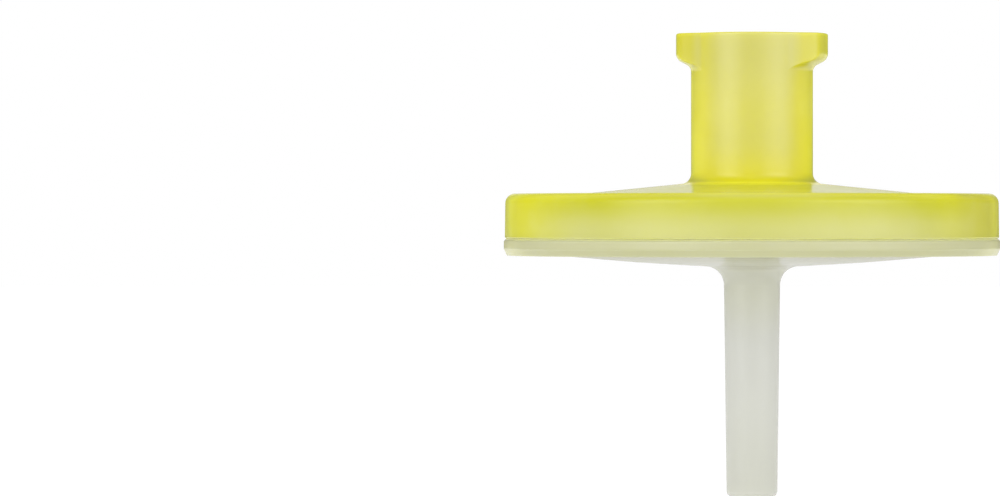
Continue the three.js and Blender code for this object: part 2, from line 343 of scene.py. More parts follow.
def held_outline(outline):
    """The same closed outline with more rows: long stretches are cut evenly, and each over the shortest held
    length gets a row close to both of its ends, so that smooth shading stays off the flat faces."""
    rows = []
    for start, end in zip(outline, np.roll(outline, -1, axis=0)):
        span = float(np.linalg.norm(end - start))
        cuts = [0.0]
        if span > SHORTEST_HELD:
            inner = np.linspace(HOLD, span - HOLD, max(2, math.ceil(span / LONGEST_STEP) + 1))
            cuts.extend(inner / span)
        rows.append(start + np.outer(cuts, end - start))
    return np.concatenate(rows)


def turned_grids(outline):
    """Radius and height grids of an outline of (radius, height) rows that is the same at every turn."""
    radius = np.repeat(outline[:, :1], TURN_COLUMNS, axis=1)
    height = np.repeat(outline[:, 1:], TURN_COLUMNS, axis=1)
    return radius, height


def turned_mesh(name, radius, height, capped=False):
    """A mesh from grids of rows by columns: turn t holds the points (radius cos t, radius sin t, height). The
    rows close on themselves as a ring does or, when capped, end in a pole at both ends."""
    points = np.stack([radius * np.cos(TURNS), radius * np.sin(TURNS), height], axis=2).reshape(-1, 3)
    grid = np.arange(radius.size).reshape(radius.shape)
    if capped:
        lower, upper = grid[:-1], grid[1:]
    else:
        lower, upper = grid, np.roll(grid, -1, axis=0)
    corners = [lower, np.roll(lower, -1, axis=1), np.roll(upper, -1, axis=1), upper]
    faces = np.stack(corners, axis=2).reshape(-1, 4).tolist()
    if capped:
        first, last = len(points), len(points) + 1
        ends = [[0, 0, height[0].mean()], [0, 0, height[-1].mean()]]
        points = np.concatenate([points, ends])
        foot = np.stack([np.full(TURN_COLUMNS, first), np.roll(grid[0], -1), grid[0]], axis=1)
        head = np.stack([np.full(TURN_COLUMNS, last), grid[-1], np.roll(grid[-1], -1)], axis=1)
        faces += foot.tolist() + head.tolist()
    mesh = bpy.data.meshes.new(name)
    mesh.from_pydata(points.tolist(), [], faces)
    mesh.shade_smooth()
    mesh.update()
    return mesh


def place_piece(name, mesh, material, node):
    """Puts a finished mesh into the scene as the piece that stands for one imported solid."""
    mesh.materials.append(material)
    piece = bpy.data.objects.new(name, mesh)
    bpy.context.scene.collection.objects.link(piece)
    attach(piece, BODY)
    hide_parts(node)


def line_through(turn, start_turn, start_radius, end_turn, end_radius):
    """Distance from the axis, at each turn, of the straight line through two points of turn and radius."""
    start = start_radius * np.array([math.cos(start_turn), math.sin(start_turn)])
    end = end_radius * np.array([math.cos(end_turn), math.sin(end_turn)])
    normal = np.array([end[1] - start[1], start[0] - end[0]])
    return (normal @ start) / (normal[0] * np.cos(turn) + normal[1] * np.sin(turn))


def lug_plan(hub):
    """Reach of the hub's outside at each column: the hub's radius, and twice round the circle a lug, bounded
    by its crest circle and by two straight flanks that leave the hub nearly tangent to it. A weighted mean
    over neighbouring columns, as wide as the flank blend, rounds the upright edges."""
    middle = (hub.crest_from + hub.crest_to) / 2
    around = (TURNS - middle + math.pi / 2) % math.pi - math.pi / 2 + middle
    rising = line_through(around, hub.flank_from, hub.radius, hub.crest_from, hub.lug_radius)
    falling = line_through(around, hub.crest_to, hub.lug_radius, hub.flank_to, hub.radius)
    flank = np.where(around < middle, rising, falling)
    inside = (around > hub.flank_from) & (around < hub.flank_to)
    plan = np.where(inside, np.clip(flank, hub.radius, hub.lug_radius), hub.radius)
    half_blend = hub.flank_blend / 2
    reach = round(TURN_COLUMNS * half_blend / (2 * math.pi))
    window = np.hanning(2 * reach + 3)[1:-1]
    return np.convolve(np.pad(plan, reach, mode="wrap"), window / window.sum(), mode="valid")


def lug_space_foot(hub):
    """Lower end of the space that a lug may fill: two root fillets under the place where it meets the hub."""
    return -hub.foot_depth - 2 * hub.root_fillet


def lug_profile(hub):
    """Outline of the turned space that a lug may fill, as (radius, height) rows from the hub's wall below it
    up to the mouth: root fillet, sloping underside, rounded edge and crest."""
    foot = lug_space_foot(hub)
    outline = rounded_outline(
        [
            (hub.bore_radius, foot),
            (hub.radius, foot),
            (hub.radius, -hub.foot_depth, hub.root_fillet),
            (hub.lug_radius, -hub.crest_depth, hub.crest_round),
            (hub.lug_radius, 0.0),
            (hub.bore_radius, 0.0),
        ]
    )
    return outline[1:-1]


def lug_rows(hub):
    """Heights on the hub's wall that the lugs need rows at: those of their profile, and even steps between
    them. They end one and a half edge rounds under the mouth, clear of its round."""
    profile = lug_profile(hub)[:, 1]
    heights = np.concatenate([profile, np.arange(profile[0], 0, LUG_STEP)])
    heights = np.unique(np.round(heights / HEIGHT_GRAIN)) * HEIGHT_GRAIN
    return heights[heights < -1.5 * hub.edge_round]


def inlet_outline(hub, disc):
    """The inlet housing's section as corners, anticlockwise from the port's lower edge."""
    skirt_radius = INLET_HIGH[0]
    skirt_foot = INLET_LOW[2]
    floor_radius = hub.bore_radius - hub.bore_depth * hub.bore_taper / 2
    return [
        (disc.port_radius, -disc.roof_depth),
        (disc.roof_radius, -disc.roof_depth),
        (disc.roof_radius, -disc.step_depth),
        (disc.clamp_inner_radius, -disc.step_depth),
        (disc.clamp_inner_radius, -disc.clamp_depth),
        (disc.clamp_outer_radius, -disc.clamp_depth),
        (disc.clamp_outer_radius, -disc.weld_groove_depth),
        (disc.skirt_inner_radius, -disc.weld_groove_depth),
        (disc.skirt_inner_radius, skirt_foot, disc.lip_round),
        (skirt_radius, skirt_foot, disc.lip_round),
        (disc.top_radius, -disc.top_depth, disc.top_round),
        (disc.shoulder_radius, -disc.top_depth),
        (hub.radius, -disc.shoulder_depth, disc.hub_fillet),
        *[(hub.radius, height) for height in lug_rows(hub).tolist()],
        (hub.radius, 0.0, hub.edge_round),
        (hub.bore_radius, 0.0, hub.edge_round),
        (floor_radius, -hub.bore_depth, hub.edge_round),
        (disc.port_radius, -hub.bore_depth),
    ]


def inlet_grids(hub, disc):
    """Radius and height grids of the inlet housing. Rows on the hub's wall reach out to the lugs' envelope,
    and rows on the mouth's outer edge keep their inset from the lugs' plan."""
    outline = held_outline(rounded_outline(inlet_outline(hub, disc)))
    radius, height = turned_grids(outline)
    middle_of_wall = (hub.radius + hub.bore_radius) / 2
    beside_lug = (outline[:, 0] > middle_of_wall) & (outline[:, 1] > lug_space_foot(hub))
    inset = hub.radius - outline[beside_lug, 0]
    profile = lug_profile(hub)
    envelope = np.interp(outline[beside_lug, 1], profile[:, 1], profile[:, 0])
    reach = np.minimum(lug_plan(hub), envelope[:, None])
    radius[beside_lug] = np.maximum(reach, hub.radius) - inset[:, None]
    return radius, height


def support_corners(outlet, support_top):
    """Corners of the support rings from the outermost inwards."""
    groove = support_top - outlet.ring_height
    corners = []
    for ring in reversed(range(outlet.ring_count)):
        inner = outlet.ring_first_radius + ring * outlet.ring_pitch
        outer = inner + outlet.ring_width
        corners += [(outer, groove), (outer, support_top), (inner, support_top), (inner, groove)]
    return corners


def outlet_outline(outlet):
    """The outlet housing's section as corners, anticlockwise from the tip's bore."""
    tip = OUTLET_LOW[2]
    support_top = OUTLET_HIGH[2]
    rim_radius = OUTLET_HIGH[0]
    groove = support_top - outlet.ring_height
    weld_top = INLET_LOW[2] - outlet.weld_gap
    return [
        (outlet.bore_tip_radius, tip),
        (outlet.spigot_tip_radius, tip, outlet.tip_round),
        (outlet.spigot_root_radius, -outlet.root_depth, outlet.root_fillet),
        (outlet.break_radius, -outlet.break_depth),
        (outlet.cone_radius, -outlet.foot_depth),
        (outlet.foot_radius, -outlet.foot_depth, outlet.foot_round),
        (rim_radius, -outlet.bevel_depth, outlet.rim_round),
        (rim_radius, -outlet.rim_top_depth - outlet.rim_round, outlet.rim_round),
        (outlet.weld_radius, weld_top),
        (outlet.plug_radius, weld_top),
        (outlet.plug_radius, support_top),
        (outlet.clamp_radius, support_top),
        (outlet.clamp_radius, groove),
        *support_corners(outlet, support_top),
        (outlet.well_radius, groove),
        (outlet.bore_root_radius, -outlet.well_depth),
    ]


def outlet_grids(outlet):
    """Radius and height grids of the outlet housing. Where a point lies within half a channel's width of a
    channel's centre line, the rings' tops sink to the grooves."""
    radius, height = turned_grids(held_outline(rounded_outline(outlet_outline(outlet))))
    groove = OUTLET_HIGH[2] - outlet.ring_height
    sector = 2 * math.pi / max(outlet.channel_count, 1)
    off_channel = (TURNS + sector / 2) % sector - sector / 2
    across = np.abs(radius * np.sin(off_channel))
    in_channel = (across < outlet.channel_width / 2) & (radius < outlet.clamp_radius) & (height > groove)
    height[in_channel] = groove
    return radius, height


def membrane_grids(settings, outlet):
    """Radius and height grids of the membrane, a thin disc with a softly rounded edge. Between the support
    rings it sinks by the dimple depth, as a cosine of the radius over the rings' pitch."""
    edge, foot, top = MEMBRANE_HIGH[0], MEMBRANE_LOW[2], MEMBRANE_HIGH[2]
    softness = settings.edge_round
    flat = np.linspace(POLE_RADIUS, edge - softness, FILM_ROWS)
    bend = np.linspace(0, math.pi / 2, FILM_EDGE_STEPS + 1)[1:]
    lower = np.stack([flat, np.full_like(flat, foot)], axis=1)
    round_radius = edge - softness + softness * np.sin(bend)
    round_height = foot + softness * (1 - np.cos(bend))
    lower_edge = np.stack([round_radius, round_height], axis=1)
    upper_edge = np.stack([round_radius, top + foot - round_height], axis=1)[::-1]
    upper = np.stack([flat[::-1], np.full_like(flat, top)], axis=1)
    outline = np.concatenate([lower, lower_edge, upper_edge, upper])
    phase = (outline[:, 0] - outlet.ring_first_radius - outlet.ring_width / 2) / outlet.ring_pitch
    free = outline[:, 0] < outlet.clamp_radius - outlet.ring_pitch / 2
    outline[:, 1] -= np.where(free, settings.dimple * (1 - np.cos(2 * math.pi * phase)) / 2, 0)
    return turned_grids(outline)


# ---- Node groups -------------------------------------------------------------------------------------

GLOSS_SCALE = 260.0  # patches a metre in the slow change of gloss
RING_SCALE = 420.0  # patches a metre in the turned rings' strength
FINE_SHARE = 0.35  # height of the fine grain against the coarse grain's
COARSE_IN_GLOSS = 0.5  # how much of the coarse grain shows in the gloss
CLOUD_RANGE = (0.35, 0.68)  # stretch of the noise that the flow clouds' mask takes up

# Where each mask fades: its start and its end, measured from the level or the radius that it is used with.
FADES = {
    # heights, from the bore's floor
    "thin wall": (-0.6 * MM, 2.2 * MM),
    "under floor": (-0.1 * MM, -0.4 * MM),
    "hub wall": (-0.26 * MM, 0.3 * MM),
    # heights, from the lugs' foot and from the mouth
    "lug foot": (-0.5 * MM, 0.0),
    "lip": (-4.5 * MM, -0.8 * MM),
    "low hub": (-3.5 * MM, -6.5 * MM),
    # radii, from the hub's outside and from its bore
    "on hub": (0.02 * MM, 0.35 * MM),
    "off hub": (0.03 * MM, 0.3 * MM),
    "beside hub": (0.5 * MM, 1.5 * MM),
    "past hub": (0.3 * MM, 0.7 * MM),
    "in bore": (0.05 * MM, 0.3 * MM),
    # radii, from the edge of the chamber's roof
    "middle edge": (-0.1 * MM, 1.2 * MM),
    "clamp edge": (-0.05 * MM, 0.12 * MM),
    "knit end": (-0.4 * MM, 0.6 * MM),
    # heights, from the disc's top and from the chamber's roof
    "top face": (-0.1 * MM, -0.02 * MM),
    "brim": (-0.35 * MM, -0.1 * MM),
    "skirt": (-0.8 * MM, 0.65 * MM),
    # radii, from the outlet rim's foot
    "rim": (-0.3 * MM, 0.0),
    # along Y and along X, from the flow axis
    "knit start": (0.0, 1.0 * MM),
    "far end": (9.5 * MM, 10.8 * MM),
}
THIN_WALL_SHARE = 0.75  # strength of the thin wall's shade on the hub
THIN_LUG_SHARE = 0.2  # what is left of it on the lugs
OVER_WELD = 0.85  # strength of the clamp's shade over the weld
WELD_FADE = 0.3 * MM  # how far inside the clamp ring's outer edge that strength starts to change
WALL_DEPTH = 0.1 * MM  # how far inside the disc's outside its wall counts as full
MOUTH_DEPTH = 1.0 * MM  # how far below the mouth the bore's wall counts as full
# The seam's light is painted light in the colour.
SEAM_REACH = 0.08 * MM  # how far the seam's light spreads up and down
SEAM_DROP = 0.02 * MM  # how far below the skirt it is brightest on the rim
KNIT_PLACE = 0.25 * MM  # how far beside the flow axis the knit line runs
KNIT_REACH = 0.14 * MM  # half its width
KNIT_SHARE = 0.7  # strength of its shade


def new_group(name, inputs, outputs):
    """An empty shader node group with {name: default} inputs and outputs, where None makes a vector."""
    tree = bpy.data.node_groups.new(name, "ShaderNodeTree")
    for direction, sockets in (("INPUT", inputs), ("OUTPUT", outputs)):
        for socket_name, default in sockets.items():
            kind = "NodeSocketVector" if default is None else "NodeSocketFloat"
            socket = tree.interface.new_socket(name=socket_name, in_out=direction, socket_type=kind)
            if default is not None:
                socket.default_value = default
    return tree, tree.nodes.new("NodeGroupInput"), tree.nodes.new("NodeGroupOutput")


def math_node(tree, operation, first, second=None, clamp=False):
    """A Math node fed by sockets or numbers; returns its output."""
    node = tree.nodes.new("ShaderNodeMath")
    node.operation = operation
    node.use_clamp = clamp
    for socket, value in zip(node.inputs, (first, second)):
        if isinstance(value, bpy.types.NodeSocket):
            tree.links.new(value, socket)
        elif value is not None:
            socket.default_value = value
    return node.outputs[0]


def product(tree, first, *others):
    """The product of several masks or numbers."""
    for other in others:
        first = math_node(tree, "MULTIPLY", first, other)
    return first


def total(tree, first, *others):
    """The sum of several masks or numbers."""
    for other in others:
        first = math_node(tree, "ADD", first, other)
    return first


def remainder(tree, mask):
    """What a mask leaves: one minus it."""
    return math_node(tree, "SUBTRACT", 1.0, mask)


def noise(tree, vector, scale, detail, roughness=0.5):
    """A Noise Texture over the given coordinates; returns its factor."""
    node = tree.nodes.new("ShaderNodeTexNoise")
    node.inputs["Detail"].default_value = detail
    node.inputs["Roughness"].default_value = roughness
    tree.links.new(vector, node.inputs["Vector"])
    if isinstance(scale, bpy.types.NodeSocket):
        tree.links.new(scale, node.inputs["Scale"])
    else:
        node.inputs["Scale"].default_value = scale
    return node.outputs["Fac"]


def map_range(tree, value, from_low, from_high, to_low=0.0, to_high=1.0):
    """A smooth Map Range node; returns its result."""
    node = tree.nodes.new("ShaderNodeMapRange")
    node.interpolation_type = "SMOOTHSTEP"
    tree.links.new(value, node.inputs["Value"])
    limits = {"From Min": from_low, "From Max": from_high, "To Min": to_low, "To Max": to_high}
    for name, limit in limits.items():
        node.inputs[name].default_value = limit
    return node.outputs["Result"]


def fade(tree, value, name, level=0.0, first=0.0, last=1.0):
    """A smooth change from first to last over a named stretch of FADES, measured from a level."""
    start, end = FADES[name]
    return map_range(tree, value, level + start, level + end, first, last)


def polar(tree, vector):
    """Splits coordinates into x, y, z and the distance from the flow axis."""
    split = tree.nodes.new("ShaderNodeSeparateXYZ")
    tree.links.new(vector, split.inputs[0])
    x, y, z = split.outputs
    squares = total(tree, product(tree, x, x), product(tree, y, y))
    return x, y, z, math_node(tree, "SQRT", squares)


def moulded_grain_group(name):
    """Satin grain of a moulded face: fine and coarse noise as a height, and a slow change of gloss."""
    inputs = {"Vector": None, "Fine scale": 9000.0, "Coarse scale": 1400.0}
    tree, entry, end = new_group(name, inputs, {"Height": 0.0, "Gloss": 0.0})
    vector = entry.outputs["Vector"]
    fine = noise(tree, vector, entry.outputs["Fine scale"], detail=2.0)
    coarse = noise(tree, vector, entry.outputs["Coarse scale"], detail=3.0)
    slow = noise(tree, vector, GLOSS_SCALE, detail=2.0)
    tree.links.new(total(tree, product(tree, fine, FINE_SHARE), coarse), end.inputs["Height"])
    tree.links.new(total(tree, product(tree, coarse, COARSE_IN_GLOSS), slow), end.inputs["Gloss"])
    return tree


def turned_rings_group(name):
    """Fine rings left by turning the mould: a sine of the distance from the flow axis, uneven in strength."""
    tree, entry, end = new_group(name, {"Vector": None, "Pitch": 0.4 * MM}, {"Height": 0.0})
    _, _, _, radius = polar(tree, entry.outputs["Vector"])
    turns = math_node(tree, "DIVIDE", radius, entry.outputs["Pitch"])
    wave = math_node(tree, "SINE", product(tree, turns, 2 * math.pi))
    strength = noise(tree, entry.outputs["Vector"], RING_SCALE, detail=2.0)
    tree.links.new(product(tree, wave, strength), end.inputs["Height"])
    return tree


def flow_cloud_group(name):
    """Cloudiness where the melt filled the mould: slow, soft noise as a mask from 0 to 1."""
    tree, entry, end = new_group(name, {"Vector": None, "Scale": 130.0}, {"Mask": 0.0})
    slow = noise(tree, entry.outputs["Vector"], entry.outputs["Scale"], detail=4.0, roughness=0.55)
    tree.links.new(map_range(tree, slow, *CLOUD_RANGE), end.inputs["Mask"])
    return tree


def band(tree, value, centre, reach):
    """1 at a centre value, falling smoothly to 0 at the given reach on both sides."""
    distance = math_node(tree, "ABSOLUTE", math_node(tree, "SUBTRACT", value, centre))
    return map_range(tree, distance, 0.0, reach, 1.0, 0.0)


def put_out(tree, end, masks):
    """Gives a group one output for each mask of {name: socket}."""
    for name, mask in masks.items():
        tree.interface.new_socket(name=name, in_out="OUTPUT", socket_type="NodeSocketFloat")
        tree.links.new(mask, end.inputs[name])


def hub_masks(tree, height, radius, hub):
    """Masks on the hub, from 0 to 1. Bore: the thin wall from the bore's floor to the mouth. Foot: round the
    hub's foot, for painted light there. Lip: the last millimetres below the mouth. Low hub: its lower half,
    for painted light on its edges. Lug: the two lugs. Bore wall: inside the bore, for painted light there.
    Hub wall: all that stands over the shoulder."""
    floor = -hub.bore_depth
    wall = fade(tree, height, "thin wall", floor, last=THIN_WALL_SHARE)
    on_hub = fade(tree, radius, "on hub", hub.radius, 1.0, THIN_LUG_SHARE)
    low = fade(tree, height, "under floor", floor)
    beside = fade(tree, radius, "beside hub", hub.radius, 1.0, 0.0)
    over_lug_foot = fade(tree, height, "lug foot", -hub.foot_depth)
    off_hub = fade(tree, radius, "off hub", hub.radius)
    in_bore = fade(tree, radius, "in bore", hub.bore_radius, 1.0, 0.0)
    below_mouth = map_range(tree, height, -hub.edge_round, -MOUTH_DEPTH)
    return {
        "Bore": product(tree, wall, on_hub),
        "Foot": product(tree, low, beside),
        "Lip": fade(tree, height, "lip"),
        "Low hub": fade(tree, height, "low hub"),
        "Lug": product(tree, over_lug_foot, off_hub),
        "Bore wall": product(tree, in_bore, below_mouth),
        "Hub wall": fade(tree, height, "hub wall", floor),
    }


def disc_masks(tree, height, radius, disc):
    """Masks on the disc, from 0 to 1. Middle: all that lies inside the clamp ring. Clamp: the top over the
    clamp ring and the weld. Skirt: below the solid plate, for its paler yellow with painted light in it.
    Brim: the round at the top's edge. Seam: a narrow band at the skirt's foot, for painted light at the weld.
    Disc wall: the outside of disc and skirt."""
    top = -disc.top_depth
    weld_from = disc.clamp_outer_radius - WELD_FADE
    over_weld = map_range(tree, radius, weld_from, disc.skirt_inner_radius, 1.0, OVER_WELD)
    over_clamp = fade(tree, radius, "clamp edge", disc.roof_radius)
    outside = map_range(tree, radius, disc.top_radius - disc.top_round, disc.top_radius - WALL_DEPTH)
    return {
        "Middle": fade(tree, radius, "middle edge", disc.roof_radius, 1.0, 0.0),
        "Clamp": product(tree, over_clamp, over_weld, fade(tree, height, "top face", top)),
        "Skirt": fade(tree, height, "skirt", -disc.roof_depth, 1.0, 0.0),
        "Brim": product(tree, outside, fade(tree, height, "brim", top)),
        "Seam": band(tree, height, INLET_LOW[2], SEAM_REACH),
        "Disc wall": outside,
    }


def side_masks(tree, x, y, radius, hub, disc):
    """Masks that lie on one side only. Knit: the thin line where the melt closed again, on the top from the
    hub to the clamp ring. Far: the disc's +X end, for painted shade there."""
    on_line = band(tree, x, KNIT_PLACE, KNIT_REACH)
    behind = fade(tree, y, "knit start", last=KNIT_SHARE)
    beyond_hub = fade(tree, radius, "past hub", hub.radius)
    before_clamp = fade(tree, radius, "knit end", disc.roof_radius, 1.0, 0.0)
    return {
        "Knit": product(tree, on_line, behind, beyond_hub, before_clamp),
        "Far": fade(tree, x, "far end"),
    }


def inlet_tint_group(hub, disc):
    """Where the yellow moulding changes its shade, and where light and shade are painted into it."""
    tree, entry, end = new_group("Inlet shades", {"Vector": None}, {})
    x, y, height, radius = polar(tree, entry.outputs["Vector"])
    put_out(tree, end, hub_masks(tree, height, radius, hub))
    put_out(tree, end, disc_masks(tree, height, radius, disc))
    put_out(tree, end, side_masks(tree, x, y, radius, hub, disc))
    return tree


def outlet_tint_group(outlet):
    """Where the natural moulding changes its shade. Place: the height as a share, from 0 at the spigot's tip
    to 1 at the support plate, for a ramp. Seam: a narrow band at the rim's top, for painted light at the
    weld. Rim: its outside, for painted light at low angles."""
    tree, entry, end = new_group("Outlet shades", {"Vector": None}, {})
    _, _, height, radius = polar(tree, entry.outputs["Vector"])
    rise = math_node(tree, "SUBTRACT", height, OUTLET_LOW[2])
    masks = {
        "Place": math_node(tree, "DIVIDE", rise, OUTLET_HIGH[2] - OUTLET_LOW[2]),
        "Seam": band(tree, height, INLET_LOW[2] - SEAM_DROP, SEAM_REACH),
        "Rim": fade(tree, radius, "rim", outlet.foot_radius),
    }
    put_out(tree, end, masks)
    return tree


def place_group(tree, group, vector, **values):
    """Places a node group in a material, feeds its Vector and sets its other inputs."""
    node = tree.nodes.new("ShaderNodeGroup")
    node.node_tree = group
    tree.links.new(vector, node.inputs["Vector"])
    for name, value in values.items():
        node.inputs[name.replace("_", " ")].default_value = value
    return node


def shared_group(name):
    """A node group that several materials share, built when it is first asked for."""
    builders = {
        "Moulded grain": moulded_grain_group,
        "Turned rings": turned_rings_group,
        "Flow cloud": flow_cloud_group,
    }
    return bpy.data.node_groups.get(name) or builders[name](name)


# ---- Materials ---------------------------------------------------------------------------------------

# Low angles: where a shade starts and where it is full, from 0 face-on to 1 at the outline, and its strength
# there. LAST_ANGLE and RIM_ANGLE place painted light at the outline.
THIN_WALL_ANGLE = (0.12, 0.42, 0.65)
EDGE_ANGLE = (0.22, 0.75, 0.9)
LAST_ANGLE = (0.70, 0.83, 1.0)
RIM_ANGLE = (0.55, 0.85, 0.9)

# Tilts: the height of a face's normal where a shade starts and where it is full. CROWN_TILT places painted
# light on faces that look up, and the two under tilts place painted shade on faces that look down.
CROWN_TILT = (0.9, 0.99)
INLET_UNDER_TILT = (-0.1, -0.6)
OUTLET_UNDER_TILT = (-0.75, -0.95)

# The last edge's shade is painted light; FAR_LOSS weakens it at the +X end as painted shade.
FAR_LOSS = 0.45  # how much weaker the last edge's shade is at the disc's +X end
SPIGOT_SHARE = 0.65  # how far up the spigot its middle shade lies
ROOT_DROP = 0.3 * MM  # how far below the spigot's root the root's shade lies
CONE_DROP = 0.15 * MM  # how far below the cone's break the cone's shade lies
RIM_RISE = 0.15 * MM  # how far over the rim's bevel the rim's shade begins

PLASTIC_IOR = 1.49
SCATTER_LENGTH = 0.6 * MM  # how far light spreads inside the plastic
ROUGHNESS_CHANGE = 0.03  # how far the roughness strays to either side
PLASTIC_GLOSS = (0.5, 1.0)  # stretch of the grain's gloss that changes the plastic's roughness
RING_HEIGHT = 0.002 * MM
GRAIN_HEIGHT = 0.004 * MM
PORE_HEIGHT = 0.006 * MM
FILM_GLOSS = (0.4, 1.0)  # stretch of the grain's gloss that changes the film's roughness
FILM_ROUGHNESS = (0.8, 0.95)
CLOUD_SATURATION = (1.03, 0.97)  # outside the flow clouds and in them
CLOUD_VALUE = (0.985, 1.015)


def emptied(owner, output_kind):
    """Clears the nodes of a material or world and adds an output; returns its tree and the Surface input."""
    owner.use_nodes = True
    tree = owner.node_tree
    tree.nodes.clear()
    return tree, tree.nodes.new(output_kind).inputs["Surface"]


def new_material(name):
    """A material with only a Principled shader; returns it with that shader and its Object coordinates."""
    material = bpy.data.materials.new(name)
    tree, output = emptied(material, "ShaderNodeOutputMaterial")
    surface = tree.nodes.new("ShaderNodeBsdfPrincipled")
    tree.links.new(surface.outputs[0], output)
    coordinates = tree.nodes.new("ShaderNodeTexCoord")
    return material, surface, coordinates.outputs["Object"]


def mix_colours(tree, factor, first, second, blend="MIX"):
    """A Mix node between two colours, each a plain colour or a socket; returns its colour."""
    node = tree.nodes.new("ShaderNodeMix")
    node.data_type = "RGBA"
    node.blend_type = blend
    tree.links.new(factor, node.inputs["Factor"])
    for socket, value in ((node.inputs["A"], first), (node.inputs["B"], second)):
        if isinstance(value, bpy.types.NodeSocket):
            tree.links.new(value, socket)
        else:
            socket.default_value = (*value, 1.0)
    return node.outputs["Result"]


def layered(tree, base, layers):
    """A base colour with layers over it in order, each given as (mask, colour, way of blending)."""
    for mask, layer, blend in layers:
        base = mix_colours(tree, mask, base, layer, blend)
    return base


def bump(tree, height, distance, normal=None):
    """A Bump node over an optional earlier normal; returns its normal."""
    node = tree.nodes.new("ShaderNodeBump")
    node.inputs["Strength"].default_value = 1.0
    node.inputs["Distance"].default_value = distance
    tree.links.new(height, node.inputs["Height"])
    if normal is not None:
        tree.links.new(normal, node.inputs["Normal"])
    return node.outputs["Normal"]


def ramp(tree, place, stops):
    """A Color Ramp over a place from 0 to 1, with stops of (place, colour) that are blended smoothly."""
    node = tree.nodes.new("ShaderNodeValToRGB")
    node.color_ramp.interpolation = "EASE"
    elements = node.color_ramp.elements
    while len(elements) < len(stops):
        elements.new(0.5)
    for element, (position, _) in zip(elements, stops):
        element.position = position
    for element, (_, colour_there) in zip(elements, stops):
        element.color = (*colour_there, 1.0)
    tree.links.new(place, node.inputs[0])
    return node.outputs["Color"]


def tilt(tree, start, full):
    """1 where a face's normal leans up (down, below zero) by the full height or more, 0 up to the start. It
    places painted light and painted shade by which way a face looks.
    """
    coordinates = tree.nodes.new("ShaderNodeTexCoord")
    split = tree.nodes.new("ShaderNodeSeparateXYZ")
    tree.links.new(coordinates.outputs["Normal"], split.inputs[0])
    return map_range(tree, split.outputs["Z"], start, full)


def low_angle(tree, start, full, most):
    """How low the angle is at which a face is seen: 0 up to the start, the most from the full value on. A
    wall of milky plastic shows deeper there, because the eye looks through more of it; some shades placed
    with it are painted light instead."""
    node = tree.nodes.new("ShaderNodeLayerWeight")
    node.inputs["Blend"].default_value = 0.5
    return map_range(tree, node.outputs["Facing"], start, full, 0.0, most)


def inlet_edge_colour(tree, shades, disc):
    """The yellow moulding's colour where it is seen at a low angle: one for the top, the hub and the disc
    each, a brighter one near the hub's foot that is painted light, and a duller one for the disc's +X end
    that is painted shade."""
    disc_edge = mix_colours(tree, shades["Far"], disc.edge, disc.far_edge_shade)
    hub_edge = mix_colours(tree, shades["Low hub"], disc.hub_edge, disc.hub_foot_edge_light)
    edge = mix_colours(tree, shades["Hub wall"], disc.ledge, hub_edge)
    return mix_colours(tree, shades["Disc wall"], edge, disc_edge)


def inlet_colour(tree, vector, hub, disc):
    """The yellow moulding's base colour: the disc's yellow, the shades of its regions over it, then those of
    the low angles, and last those that cover all others. Many of them are painted light and shade: lighter on
    faces that look up, round the hub's foot, in the bore, at the seam and where walls turn out of sight, and
    darker on faces that look down and at the disc's +X end."""
    shades = place_group(tree, inlet_tint_group(hub, disc), vector).outputs
    thin = product(tree, shades["Bore"], remainder(tree, low_angle(tree, *THIN_WALL_ANGLE)))
    upright = math_node(tree, "MAXIMUM", shades["Hub wall"], shades["Disc wall"])
    # less painted light at the disc's +X end, as painted shade there
    near = remainder(tree, product(tree, shades["Far"], FAR_LOSS))
    last = product(tree, upright, near, low_angle(tree, *LAST_ANGLE))
    layers = (
        (shades["Middle"], disc.middle, "MIX"),
        (thin, disc.thin, "MIX"),
        (shades["Skirt"], disc.skirt, "MIX"),
        (shades["Brim"], disc.brim, "MIX"),
        # painted light on the faces that look up
        (tilt(tree, *CROWN_TILT), disc.crown_light, "MIX"),
        (shades["Clamp"], disc.clamp, "MIX"),
        (shades["Knit"], disc.knit, "MIX"),
        (low_angle(tree, *EDGE_ANGLE), inlet_edge_colour(tree, shades, disc), "MIX"),
        # painted light where upright walls turn out of sight
        (last, disc.last_edge_light, "MIX"),
        # painted light round the hub's foot
        (shades["Foot"], disc.foot, "MIX"),
        (shades["Lip"], disc.lip, "MULTIPLY"),
        (shades["Lug"], disc.lug, "MULTIPLY"),
        # painted shade on faces that look down
        (tilt(tree, *INLET_UNDER_TILT), disc.underside, "MULTIPLY"),
        # painted light inside the bore
        (shades["Bore wall"], disc.bore, "MIX"),
        # painted light at the weld
        (shades["Seam"], disc.seam, "MIX"),
    )
    return layered(tree, disc.deep, layers)


